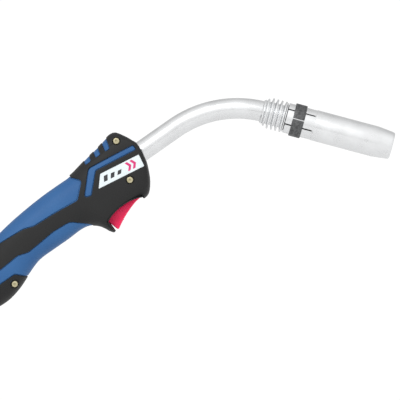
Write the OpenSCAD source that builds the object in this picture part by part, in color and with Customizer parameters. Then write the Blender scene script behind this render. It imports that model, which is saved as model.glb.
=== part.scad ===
// MIG welding torch: two-shell hand grip with a trigger, bent neck, finned head and push-on gas nozzle.
// Frame: +X runs forward along the straight part of the neck, +Z is up and y = 0 is the mirror plane
// on which the two handle shells meet. The origin is the centre of the cable port's mouth.

/* [Handle] */
// Full width of the handle at its widest
handle_w = 38; // [36:1:42]
// Thickness of the soft grip skin
skin_t = 1.2; // [1:0.1:1.5]
// Wall of the hard shells under the skin
shell_wall = 2.4; // [2:0.1:2.8]
// Radius of the bore that takes the cable's support bush
port_r = 11.5; // [10.5:0.5:11.5]
// Length of the cable collar
collar_l = 14; // [10:1:16]

/* [Neck] */
// Outside diameter of the neck's jacket tube
neck_d = 16.5; // [16:0.5:16.5]
// Wall of the jacket tube
neck_wall = 1; // [0.8:0.1:1.2]
// Height of the neck's axis above the cable port's axis
neck_z = 16; // [15.5:0.5:16.5]
// Where the neck's straight part ends and its bend begins, along X
bend_x = 205; // [195:1:220]
// Radius of the bend along the neck's axis
bend_r = 86; // [70:1:110]
// Angle of the bend, downwards
bend_deg = 50; // [22:1:60]

/* [Nozzle] */
// Outside diameter of the gas nozzle
nozzle_d = 24.5; // [24:0.1:26]
// Length of the gas nozzle
nozzle_l = 86.5; // [84:0.5:90]
// Bore of the nozzle at its mouth
nozzle_mouth_d = 17; // [16:0.5:18]
// Number of slots that make the nozzle's sprung fingers
slot_count = 6; // [4:1:8]
// Radius of the contact tip's wire bore
wire_bore_r = 0.65; // [0.45:0.05:0.85]

/* [Trigger] */
// Width of the trigger
trigger_w = 15; // [14:0.5:15]

/* [Hidden] */
$fn = 64;

// ---- Handle surface ------------------------------------------------------------------------------
// The handle is a loft over chords of its side outline. Each row is: top x, top z, bottom x, bottom z,
// half width as a share of handle_w / 2, and the squareness of the cross-section.
rows = [
    [0, 17.5, 0, -18.5, 0.89, 2.6],
    [8, 19.5, 8, -20, 0.91, 2.6],
    [20, 22.5, 20, -20.3, 0.92, 2.6],
    [32, 25.3, 32, -17.8, 0.92, 2.6],
    [45, 28, 45, -12.8, 0.9, 2.6],
    [58, 30, 58, -8.6, 0.88, 2.6],
    [72, 31.4, 72, -8.2, 0.87, 2.6],
    [86, 32.3, 86, -8.2, 0.87, 2.7],
    [99, 32.8, 99, -7.8, 0.9, 2.8],
    [107, 33, 107, -9.8, 0.93, 2.9],
    [113, 33, 113, -15, 0.96, 3],
    [118.3, 33.9, 118.3, -24, 0.98, 3.1],
    [126, 35.5, 126, -22.6, 0.99, 3.3],
    [136, 37.4, 136, -19.8, 1, 3.5],
    [146, 39, 146, -17.6, 1, 3.7],
    [154, 40.8, 153, -16, 1, 4],
    [160, 41.9, 158, -15, 0.99, 4.2],
    [165, 40.4, 162.5, -10.8, 0.98, 4.5],
    [169, 34.6, 167, -4, 0.97, 5],
    [172.2, 28.2, 171.5, 6.6, 0.93, 5],
    [173.8, 23, 173.8, 17, 0.8, 5]
];
last_row = len(rows) - 1;
steps_per_row = 2;
ring_segments = 16;

function spline(a, b, c, d, t) =
    0.5 * (2 * b + (c - a) * t + (2 * a - 5 * b + 4 * c - d) * t * t + (3 * b - a - 3 * c + d) * t * t * t);
function row_at(u) =
    let (i = min(floor(u), last_row - 1))
    spline(rows[max(i - 1, 0)], rows[i], rows[i + 1], rows[min(i + 2, last_row)], u - i);
// Tangent of the outline at one end of a chord: k = 0 for the top end, 2 for the bottom end
function tangent(u, k) =
    let (
        a = row_at(max(u - 0.02, 0)),
        b = row_at(min(u + 0.02, last_row)),
        t = [b[k] - a[k], b[k + 1] - a[k + 1]]
    )
    t / norm(t);
// Half ring on the -Y side at station u, set in from the surface by d, from the bottom up to the top
function half_ring(u, d) =
    let (
        r = row_at(u),
        tt = tangent(u, 0),
        tb = tangent(u, 2),
        top = [r[0], r[1]] + d * [tt[1], -tt[0]],
        low = [r[2], r[3]] + d * [-tb[1], tb[0]],
        mid = (top + low) / 2,
        half = (top - low) / 2,
        w = r[4] * handle_w / 2 - d
    )
    [for (j = [0 : ring_segments])
        let (
            a = -90 + 180 * j / ring_segments,
            up = sign(sin(a)) * pow(abs(sin(a)), 2 / r[5]),
            out = j == 0 || j == ring_segments ? 0 : w * pow(cos(a), 2 / r[5])
        )
        [mid[0] + half[0] * up, -out, mid[1] + half[1] * up]];

// Half of the handle's body, y <= 0, set in by d, from station u0 on. With over > 0 it runs past y = 0.
module half_body(d, u0 = 0, over = 0) {
    count = round((last_row - u0) * steps_per_row);
    rings = [for (k = [0 : count])
        let (r = half_ring(u0 + (last_row - u0) * k / count, d), top = r[ring_segments])
        over > 0 ? concat([[r[0][0], over, r[0][2]]], r, [[top[0], over, top[2]]]) : r];
    n = len(rings[0]);
    polyhedron(
        points = [for (r = rings) each r],
        faces = concat(
            [[for (j = [n - 1 : -1 : 0]) j]],
            [for (k = [0 : count - 1], j = [0 : n - 1])
                let (q = (j + 1) % n, a = k * n)
                each [[a + j, a + n + q, a + n + j], [a + j, a + q, a + n + q]]],
            [[for (j = [0 : n - 1]) count * n + j]]
        ),
        convexity = 6
    );
}

// A sheet on the handle's surface between depths d0 (outer) and d1 (inner), over stations u0 to u1
module half_sheet(d0, d1, u0, u1, steps) {
    count = round((u1 - u0) * steps);
    m = ring_segments;
    rings = [for (k = [0 : count])
        let (u = u0 + (u1 - u0) * k / count, o = half_ring(u, d0), i = half_ring(u, d1))
        concat(o, [for (j = [m : -1 : 0]) i[j]])];
    n = 2 * m + 2;
    polyhedron(
        points = [for (r = rings) each r],
        faces = concat(
            [for (j = [0 : m - 1]) each [[j, n - 2 - j, j + 1], [j, n - 1 - j, n - 2 - j]]],
            [for (k = [0 : count - 1], j = [0 : n - 1])
                let (q = (j + 1) % n, a = k * n)
                each [[a + j, a + n + q, a + n + j], [a + j, a + q, a + n + q]]],
            [for (j = [0 : m - 1])
                let (e = count * n)
                each [[e + j, e + j + 1, e + n - 2 - j], [e + j, e + n - 2 - j, e + n - 1 - j]]]
        ),
        convexity = 6
    );
}

// ---- Helpers -------------------------------------------------------------------------------------
// A side-view outline as a prism over the whole width
module side_prism(w) rotate([90, 0, 0]) linear_extrude(w, center = true) children();
// A cylinder along Y at side-view position p, from y0 to y1
module rod_y(p, r, y0, y1) translate([p[0], y1, p[1]]) rotate([90, 0, 0]) cylinder(r = r, h = y1 - y0);
// A cylinder along X at height z
module rod_x(r, x0, x1, z) translate([x0, 0, z]) rotate([0, 90, 0]) cylinder(r = r, h = x1 - x0);
module block(lo, hi) translate(lo) cube(hi - lo);
// Children drawn along +Z are moved to the straight front part of the neck, s = 0 at the bend's end
module at_head() {
    translate([bend_x + bend_r * sin(bend_deg), 0, neck_z - bend_r * (1 - cos(bend_deg))])
        rotate([0, 90 + bend_deg, 0]) children();
}
module ring_s(ro, ri, s0, s1) {
    translate([0, 0, s0]) difference() {
        cylinder(r = ro, h = s1 - s0);
        translate([0, 0, -1]) cylinder(r = ri, h = s1 - s0 + 2);
    }
}
// The neck's route as a tube: straight from x0, round the bend, straight to s1
// The bend is a hair thinner than the straight parts, so its ends sink into them
bend_shy = 0.02;
bend_lap = 0.5;
module neck_tube(ro, ri, x0, s1) {
    difference() {
        rod_x(ro, x0, bend_x + bend_lap, neck_z);
        rod_x(ri, x0 - 1, bend_x + 1, neck_z);
    }
    translate([bend_x, 0, neck_z - bend_r]) rotate([90, 0, 0]) rotate([0, 0, 90 - bend_deg])
        rotate_extrude(angle = bend_deg) translate([bend_r, 0]) difference() {
            circle(r = ro - bend_shy);
            circle(r = ri + bend_shy);
        }
    at_head() ring_s(ro, ri, -bend_lap, s1);
}
function unit(v) = v / norm(v);
// A round wire along a path, as one closed mesh
module wire(path, r, sides = 8) {
    last = len(path) - 1;
    up = [0, 0, 1];
    rings = [for (i = [0 : last])
        let (
            t = unit(path[min(i + 1, last)] - path[max(i - 1, 0)]),
            a = unit(cross(t, up)),
            b = cross(a, t)
        )
        [for (j = [0 : sides - 1]) path[i] + r * (cos(360 * j / sides) * a + sin(360 * j / sides) * b)]];
    polyhedron(
        points = [for (q = rings) each q],
        faces = concat(
            [[for (j = [sides - 1 : -1 : 0]) j]],
            [for (i = [0 : last - 1], j = [0 : sides - 1])
                let (q = (j + 1) % sides, a = i * sides)
                each [[a + j, a + q, a + sides + q], [a + j, a + sides + q, a + sides + j]]],
            [[for (j = [0 : sides - 1]) last * sides + j]]
        )
    );
}

// ---- Places that several parts share -------------------------------------------------------------
wall_in = skin_t + shell_wall;
bond = 0.04;
// Handle screws: side-view place, and the y of the head's outer face
screw_places = [[161.5, 33.6], [152.8, 2.4], [31.7, -12.7]];
screw_faces = [-16.2, -18, -13.2];
screw_r = 1.5;
head_r = 2.8;
head_h = 2;
recess_r = 3.5;
insert_r = 2.3;
insert_y = [2.5, 7];
boss_r = 4;
// Cable collar: its wall, and how far its locating rib stands out from the bore
collar_wall = 2.2;
collar_rib = 3.2;
// Trigger: its pivot, its rear face's radius about the pivot, and the clearance round it
pivot = [149.5, -8.5];
pin_r = 1.5;
pin_half = 11;
trigger_reach = 31.9;
trigger_gap = 0.5;
slot_w = trigger_w + 2 * trigger_gap;
// The finger recess under the shells is part of a large cylinder
recess_c = [136.9, -50];
recess_big_r = 40;
recess_x = [119.2, 154];
// Switch
switch_lo = [128, -3.2, -3];
switch_hi = [148, 3.2, 7];
switch_pegs = [[133.5, 2.5], [143, 2.5]];
peg_r = 1.15;
plunger_x = 140.5;
plunger_r = 1.2;
plunger_out = 1.6;
spring_x = 127.5;
spring_r = 2.3;
spring_z = [-17, -6];
// Torch body and neck stack inside the handle
stud_x = [78, 92];
hex_x = [92, 116];
hex_af = 19;
jacket_x = 127;
insulation_r = neck_d / 2 - neck_wall;
conductor_r = 5.25;
conductor_bore_r = 3;
grommet_x = [157, 163];
grommet_r = 10.5;
// Head stack along the nozzle's axis, from the end of the bend
head_s = [-3, 16.5];
nozzle_s = 17;
seat_r = 10.2;
adapter_s = 17;
tip_seat_s = 58;
gas_holes_s = 46;
adapter_r = 7.2;
slide_fit = 0.05;

// ---- Handle --------------------------------------------------------------------------------------
// Side-view outlines of the openings through which the hard shell shows
upper_panel = [[13, 34], [17, 20.4], [30, 21.6], [44, 21.3], [62, 19.3], [71, 16], [90, 15], [108, 13.5],
    [119.3, 25.4], [114.4, 33], [114, 40]];
lower_panel = [[12, -2], [14, 3], [30, 4], [46, 4.3], [50, 3.6], [55, 2], [62, 2], [72, 2.5], [82, 2.7],
    [89, 2.1], [95, 0.8], [100, -2.2], [103.5, -6], [106.5, -10], [106, -16], [60, -24], [43.5, -20],
    [42, -12.6], [39, -9], [35, -6.9], [30, -6], [20, -6.2], [14, -5]];
stripe = [[117, 11.3], [130.8, 28], [134.5, 27.9], [170.2, 23.1], [170.3, 19.6], [134.6, 24.2],
    [121.8, 9.9]];
top_slots = [
    [[149.9, 32.2], [153.5, 32.2], [155.6, 44], [152, 44]],
    [[141, 32.9], [144.6, 32.9], [146.4, 42], [142.4, 42]],
    [[131, 33.2], [135.6, 33.2], [137.5, 41], [132.5, 41]]
];
badge_depth = 0.3;
badge_outline = [[128.7, 10.7], [136.4, 19.6], [169.9, 14.8], [168.4, 4.9]];

module finger_recess(grow) {
    intersection() {
        rod_y(recess_c, recess_big_r + grow, -30, 30);
        block([recess_x[0] - grow, -30, -60], [recess_x[1] + grow, 30, 0]);
    }
}
// The slot that the trigger swings in; its rear wall is concentric with the pivot
module trigger_slot() {
    intersection() {
        rod_y(pivot, trigger_reach + trigger_gap, -slot_w / 2, slot_w / 2);
        block([110, -20, -40], [154, 20, -5]);
    }
}
// What stands inside the right-hand shell, cut from its hollow. The left-hand shell mirrors it.
module inner_works() {
    for (p = screw_places) rod_y(p, boss_r, -30, 2);
    rod_y(pivot, boss_r, -30, -slot_w / 2);
    for (p = switch_pegs) {
        rod_y(p, 2.6, -30, switch_lo[1]);
        rod_y(p, peg_r, -30, 0);
    }
    finger_recess(shell_wall);
    for (x = [96, 109]) block([x, -30, 2], [x + 3, 2, 40]);
    block([138, -30, neck_z - 8], [141, 2, 40]);
    block([grommet_x[0] - 3, -30, 4], [grommet_x[1] + 3, 2, 28]);
    block([spring_x - 4, -30, spring_z[1]], [spring_x + 4, 2, spring_z[1] + 1.6]);
}
module shell_blank() {
    difference() {
        half_body(skin_t + bond);
        difference() {
            half_body(wall_in, 0.4, 2);
            inner_works();
        }
        finger_recess(0);
        trigger_slot();
        rod_x(neck_d / 2, grommet_x[0] - 30, 180, neck_z);
        rod_x(grommet_r, grommet_x[0], grommet_x[1], neck_z);
        rod_x(hex_af / sqrt(3) + 0.1, 90, 114, neck_z);
        rod_x(port_r + collar_wall, -1, collar_l, 0);
        rod_x(port_r + collar_rib, 3, 6, 0);
        rod_y(pivot, pin_r, -pin_half, 5);
    }
}
module shell_right() {
    color("steelblue") difference() {
        shell_blank();
        for (i = [0 : 2]) {
            rod_y(screw_places[i], screw_r + 0.1, -25, 5);
            rod_y(screw_places[i], recess_r, -25, screw_faces[i] + head_h);
        }
    }
}
module shell_left() {
    color("steelblue") difference() {
        mirror([0, 1, 0]) shell_blank();
        for (p = screw_places) {
            rod_y(p, screw_r + 0.1, -5, 12);
            rod_y(p, insert_r, insert_y[0], insert_y[1]);
        }
    }
}
module skin_windows() {
    side_prism(60) polygon(upper_panel);
    side_prism(60) polygon(lower_panel);
    side_prism(60) polygon(stripe);
    side_prism(60) polygon(badge_outline);
    for (p = top_slots) side_prism(60) polygon(p);
    finger_recess(0);
    rod_x(neck_d / 2, 150, 180, neck_z);
}
module skin_blank() {
    difference() {
        half_sheet(0, skin_t, 0, last_row, steps_per_row);
        skin_windows();
    }
}
module grip_skin_right() {
    color([0.15, 0.15, 0.16]) difference() {
        skin_blank();
        for (p = screw_places) rod_y(p, recess_r, -25, -5);
    }
}
module grip_skin_left() {
    color([0.15, 0.15, 0.16]) mirror([0, 1, 0]) skin_blank();
}
module badge_right() {
    color("white") intersection() {
        half_sheet(badge_depth, skin_t, 12, 19, steps_per_row);
        side_prism(60) polygon(badge_outline);
    }
}
module badge_left() {
    mirror([0, 1, 0]) badge_right();
}
module handle_screws() {
    color("khaki") for (i = [0 : 2]) {
        p = screw_places[i];
        y = screw_faces[i];
        difference() {
            union() {
                rod_y(p, head_r, y, y + head_h);
                rod_y(p, screw_r, y + head_h - 0.1, insert_y[1]);
            }
            translate([p[0], y + 1.2, p[1]]) rotate([90, 0, 0]) cylinder(r = 1.35, h = 3, $fn = 6);
        }
    }
}
module screw_inserts() {
    color("gold") for (p = screw_places) difference() {
        rod_y(p, insert_r, insert_y[0], insert_y[1]);
        rod_y(p, screw_r, insert_y[0] - 1, insert_y[1] + 1);
    }
}
module cable_collar() {
    color([0.2, 0.2, 0.2]) difference() {
        union() {
            rod_x(port_r + collar_wall, 0, collar_l, 0);
            rod_x(port_r + collar_rib, 3, 6, 0);
        }
        rod_x(port_r, -1, collar_l + 1, 0);
    }
}

// ---- Neck ----------------------------------------------------------------------------------------
module neck_grommet() {
    color("dimgray") difference() {
        rod_x(grommet_r, grommet_x[0], grommet_x[1], neck_z);
        rod_x(neck_d / 2, grommet_x[0] - 1, grommet_x[1] + 1, neck_z);
    }
}
module neck_jacket() {
    color("silver") neck_tube(neck_d / 2, insulation_r, jacket_x, 8);
}
module neck_insulation() {
    color("tan") neck_tube(insulation_r, conductor_r, hex_x[1], adapter_s);
}
module neck_conductor() {
    color("peru") neck_tube(conductor_r, conductor_bore_r, 104, 24);
}
module wire_liner() {
    color("gray") neck_tube(2.2, 1, 80, tip_seat_s);
}
module torch_body() {
    color("goldenrod") difference() {
        union() {
            rod_x(6, stud_x[0], stud_x[1] + 1, neck_z);
            translate([hex_x[0], 0, neck_z]) rotate([0, 90, 0])
                cylinder(r = hex_af / sqrt(3), h = hex_x[1] - hex_x[0], $fn = 6);
        }
        rod_x(conductor_bore_r, stud_x[0] - 1, 105, neck_z);
        rod_x(conductor_r, 104, hex_x[1] + 1, neck_z);
    }
}
module neck_nut() {
    color("goldenrod") difference() {
        translate([hex_x[1], 0, neck_z]) rotate([0, 90, 0])
            cylinder(r = 17 / sqrt(3), h = jacket_x - hex_x[1], $fn = 6);
        rod_x(insulation_r, hex_x[1] - 1, jacket_x + 1, neck_z);
    }
}

// ---- Head and nozzle -----------------------------------------------------------------------------
// Fins of the head: place of each crest along the axis and its radius
fin_crests = [[-1.7, 9.7], [0.6, 11.1], [4, 12.4], [7.5, 12.4], [11, 12.4], [14.5, 12.4]];
fin_root_r = 9;
module finned_head() {
    color("silver") at_head() difference() {
        union() {
            translate([0, 0, head_s[0]]) cylinder(r1 = neck_d / 2 + 0.35, r2 = fin_root_r, h = 2.2);
            translate([0, 0, head_s[0] + 2]) cylinder(r = fin_root_r, h = head_s[1] - head_s[0] - 2);
            for (f = fin_crests) rotate_extrude() polygon([[fin_root_r - 1, f[0] - 1.7], [f[1], f[0] - 0.1],
                [f[1], f[0] + 0.6], [fin_root_r - 1, f[0] + 0.9]]);
            translate([0, 0, head_s[1] - 0.9]) cylinder(r = 11.6, h = 0.9);
        }
        // The rear skirt reaches back over the start of the bend, so it is bored a little wider
        translate([0, 0, head_s[0] - 1]) cylinder(r = neck_d / 2 + 0.12, h = 1 - head_s[0]);
        translate([0, 0, -0.1]) cylinder(r = neck_d / 2, h = 8.1);
        cylinder(r = insulation_r, h = 20);
    }
}
module nozzle_insulator() {
    color("ivory") at_head() {
        ring_s(seat_r, adapter_r, head_s[1], 38);
    }
}
module tip_adapter() {
    color("goldenrod") at_head() difference() {
        union() {
            translate([0, 0, adapter_s]) cylinder(r = adapter_r, h = 40 - adapter_s);
            translate([0, 0, 39]) cylinder(r = 6, h = 27);
        }
        translate([0, 0, 10]) cylinder(r = conductor_r, h = 14);
        translate([0, 0, 20]) cylinder(r = conductor_bore_r, h = tip_seat_s - 19);
        translate([0, 0, tip_seat_s]) cylinder(r = 4, h = 10);
        for (a = [0, 90]) translate([0, 0, gas_holes_s]) rotate([90, 0, a])
            cylinder(r = 1, h = 30, center = true);
    }
}
module gas_diffuser() {
    color("white") at_head() difference() {
        ring_s(9.4, 6, 40, 54);
        for (a = [0 : 45 : 135]) translate([0, 0, gas_holes_s]) rotate([90, 0, a])
            cylinder(r = 1.1, h = 30, center = true);
    }
}
module contact_tip() {
    color("chocolate") at_head() difference() {
        union() {
            translate([0, 0, tip_seat_s]) cylinder(r = 4, h = 8.5);
            translate([0, 0, 66]) cylinder(r = 5, h = 24);
            translate([0, 0, 90]) cylinder(r1 = 5, r2 = 3.2, h = 9);
        }
        translate([0, 0, 50]) cylinder(r = wire_bore_r, h = 60);
        for (q = [0, 180]) rotate([0, 0, q]) translate([4.3, -6, 67.5]) cube([4, 12, 6]);
    }
}
nozzle_end = nozzle_s + nozzle_l;
slot_phase = 236.6;
module gas_nozzle() {
    r = nozzle_d / 2;
    mouth = nozzle_mouth_d / 2;
    bore = seat_r + slide_fit;
    color("silver") at_head() difference() {
        rotate_extrude() polygon([[bore, nozzle_s], [r - 0.3, nozzle_s], [r - 0.3, 39.5], [r, 39.8],
            [r, nozzle_end - 13.5], [r - 1.3, nozzle_end - 1.5], [r - 1.5, nozzle_end - 0.6],
            [r - 1.9, nozzle_end - 0.1], [r - 2.3, nozzle_end], [mouth, nozzle_end],
            [mouth, 74], [bore, 62]]);
        for (i = [0 : slot_count - 1]) rotate([0, 0, slot_phase + 360 * i / slot_count]) {
            translate([5, -0.6, nozzle_s - 1]) cube([10, 1.2, 22.4]);
            translate([5, 0, nozzle_s + 21.4]) rotate([0, 90, 0]) cylinder(r = 0.6, h = 10);
        }
    }
}
band_s = [22, 31.2];
band_gap_deg = 267.6;
module nozzle_band() {
    color([0.2, 0.2, 0.2]) at_head() difference() {
        ring_s(nozzle_d / 2 + 0.95, nozzle_d / 2 - 0.3, band_s[0], band_s[1]);
        rotate([0, 0, band_gap_deg]) translate([5, -0.4, band_s[0] - 1]) cube([20, 0.8, 12]);
    }
}

// ---- Trigger and switch --------------------------------------------------------------------------
trigger_outline = [[153, -13.1], [150, -13.4], [146, -14], [141, -15.5], [136, -17.3], [131, -19.5],
    [126, -22.2], [122.4, -24.4], [116, -24.4], [116, -10.5], [145, -10.5], [147, -6], [152, -6.5]];
trigger_hollow = [[143.5, -12.6], [141, -13.3], [136, -15.1], [131, -17.3], [126, -20], [122.4, -22],
    [116, -22], [116, -5], [143.5, -5]];
post_top = switch_lo[2] - plunger_out - 0.1;
post_r = 1.2;
module trigger_side(outline, reach) {
    intersection() {
        polygon(outline);
        translate(pivot) circle(r = reach);
    }
}
module trigger() {
    color("crimson") difference() {
        union() {
            difference() {
                side_prism(trigger_w) trigger_side(trigger_outline, trigger_reach);
                side_prism(trigger_w - 4) trigger_side(trigger_hollow, trigger_reach - 2);
            }
            rod_y(pivot, 3, -trigger_w / 2, trigger_w / 2);
            // Post that presses the switch, and the seat under the return spring
            block([plunger_x - post_r, -2, -14.5], [plunger_x + post_r, 2, post_top - post_r]);
            rod_y([plunger_x, post_top - post_r], post_r, -2, 2);
            translate([spring_x, 0, -19.8]) cylinder(r = 3.4, h = spring_z[0] + 19.8);
            translate([spring_x, 0, spring_z[0] - 1]) cylinder(r = 1.5, h = 4);
        }
        rod_y(pivot, pin_r + slide_fit, -20, 20);
    }
}
module trigger_pin() {
    color("lightgray") rod_y(pivot, pin_r, -pin_half, pin_half);
}
module trigger_spring() {
    turns = 6;
    per_turn = 14;
    wire_r = 0.35;
    span = spring_z[1] - spring_z[0] - 2 * wire_r;
    coil = [for (i = [0 : turns * per_turn])
        let (a = 360 * i / per_turn, up = spring_z[0] + wire_r + span * i / (turns * per_turn))
        [spring_x + spring_r * cos(a), spring_r * sin(a), up]];
    color("lightgray") wire(coil, wire_r, 6);
}
module switch_body() {
    color("black") difference() {
        block(switch_lo, switch_hi);
        for (p = switch_pegs) rod_y(p, peg_r, -10, 10);
        translate([plunger_x, 0, switch_lo[2] - 1]) cylinder(r = plunger_r + slide_fit, h = 4.5);
    }
}
module switch_plunger() {
    color("white") translate([plunger_x, 0, switch_lo[2] - plunger_out])
        cylinder(r = plunger_r, h = plunger_out + 1.8);
}
terminal_z = [0, 4.5];
module switch_terminals() {
    color("gold") for (z = terminal_z) block([121, -1.6, z - 0.4], [switch_lo[0], 1.6, z + 0.4]);
}
// The two leads run back under the torch body. Their points are set by hand.
lead_low = [[121, -2.5, 0], [116, -2.6, -0.6], [110, -2.8, -1.2], [102, -3, -1.4], [92, -3, -1.2],
    [80, -3, -0.9], [68, -3, -0.6], [58, -3, -0.6]];
lead_high = [[121, 2.5, 4.5], [118, 2.6, 3.2], [114, 2.8, 1], [110, 3, -0.6], [102, 3, -1.4], [92, 3, -1.2],
    [80, 3, -0.9], [68, 3, -0.6], [58, 3, -0.6]];
module switch_leads() {
    color("firebrick") {
        wire(lead_low, 0.8);
        wire(lead_high, 0.8);
    }
}
module lead_connectors() {
    color("whitesmoke") for (y = [-3, 3]) translate([0, y, 0]) rod_x(2, 40, 58, -0.6);
}

shell_right();
shell_left();
grip_skin_right();
grip_skin_left();
badge_right();
badge_left();
handle_screws();
screw_inserts();
cable_collar();
neck_grommet();
neck_jacket();
neck_insulation();
neck_conductor();
wire_liner();
torch_body();
neck_nut();
finned_head();
nozzle_insulator();
tip_adapter();
gas_diffuser();
contact_tip();
switch_body();
switch_terminals();
switch_leads();
lead_connectors();
trigger_pin();
trigger_spring();
trigger();
switch_plunger();
gas_nozzle();
nozzle_band();
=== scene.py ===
import math

import bmesh
import bpy
import numpy as np
from mathutils import Matrix, Vector


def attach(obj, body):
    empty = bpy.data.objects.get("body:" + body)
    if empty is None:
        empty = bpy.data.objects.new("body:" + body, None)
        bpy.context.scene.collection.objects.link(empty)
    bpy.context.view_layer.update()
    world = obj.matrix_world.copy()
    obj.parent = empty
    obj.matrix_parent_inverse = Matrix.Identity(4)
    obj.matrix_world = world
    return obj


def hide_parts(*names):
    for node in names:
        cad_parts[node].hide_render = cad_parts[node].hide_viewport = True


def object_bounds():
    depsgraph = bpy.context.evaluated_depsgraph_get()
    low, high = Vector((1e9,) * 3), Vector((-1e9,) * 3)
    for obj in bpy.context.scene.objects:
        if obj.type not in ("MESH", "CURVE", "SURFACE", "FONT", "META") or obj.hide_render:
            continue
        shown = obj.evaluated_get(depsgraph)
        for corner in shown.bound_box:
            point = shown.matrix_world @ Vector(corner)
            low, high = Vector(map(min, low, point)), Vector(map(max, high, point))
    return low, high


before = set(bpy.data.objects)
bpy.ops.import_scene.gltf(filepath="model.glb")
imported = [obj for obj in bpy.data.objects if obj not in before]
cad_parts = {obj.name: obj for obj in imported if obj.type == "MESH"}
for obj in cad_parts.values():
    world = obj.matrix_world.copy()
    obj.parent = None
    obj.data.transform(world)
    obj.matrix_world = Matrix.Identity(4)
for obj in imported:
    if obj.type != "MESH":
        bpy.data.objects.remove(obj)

CAD_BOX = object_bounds()
MM = 0.001

# ---- Driving dimensions, in mm, in the torch's own frame ----------------------------------------
HANDLE_W = 38.0
SKIN_T = 1.2
NECK_R = 8.25
NECK_BORE_R = 7.25
NECK_Z = 16.0
NECK_START = 127.0
BEND_X = 205.0
BEND_R = 86.0
BEND_DEG = 50.0
HEAD_TURN = Matrix.Rotation(math.radians(90.0 + BEND_DEG), 4, "Y")
BEND_END = Vector((BEND_X + BEND_R * math.sin(math.radians(BEND_DEG)), 0.0,
                   NECK_Z - BEND_R * (1.0 - math.cos(math.radians(BEND_DEG)))))
HEAD_PLACE = Matrix.Translation(BEND_END) @ HEAD_TURN
PIVOT = (149.5, -8.5)

# Chords of the handle's side outline: top x, top z, bottom x, bottom z, half width as a share of
# HANDLE_W / 2, and the squareness of the cross-section
ROWS = np.array([
    [0, 17.5, 0, -18.5, 0.89, 2.6],
    [8, 19.5, 8, -20, 0.91, 2.6],
    [20, 22.5, 20, -20.3, 0.92, 2.6],
    [32, 25.3, 32, -17.8, 0.92, 2.6],
    [45, 28, 45, -12.8, 0.9, 2.6],
    [58, 30, 58, -8.6, 0.88, 2.6],
    [72, 31.4, 72, -8.2, 0.87, 2.6],
    [86, 32.3, 86, -8.2, 0.87, 2.7],
    [99, 32.8, 99, -7.8, 0.9, 2.8],
    [107, 33, 107, -9.8, 0.93, 2.9],
    [113, 33, 113, -15, 0.96, 3],
    [118.3, 33.9, 118.3, -24, 0.98, 3.1],
    [126, 35.5, 126, -22.6, 0.99, 3.3],
    [136, 37.4, 136, -19.8, 1, 3.5],
    [146, 39, 146, -17.6, 1, 3.7],
    [154, 40.8, 153, -16, 1, 4],
    [160, 41.9, 158, -15, 0.99, 4.2],
    [165, 40.4, 162.5, -10.8, 0.98, 4.5],
    [169, 34.6, 167, -4, 0.97, 5],
    [172.2, 28.2, 171.5, 6.6, 0.93, 5],
    [173.8, 23, 173.8, 17, 0.8, 5],
], dtype=float)


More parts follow.
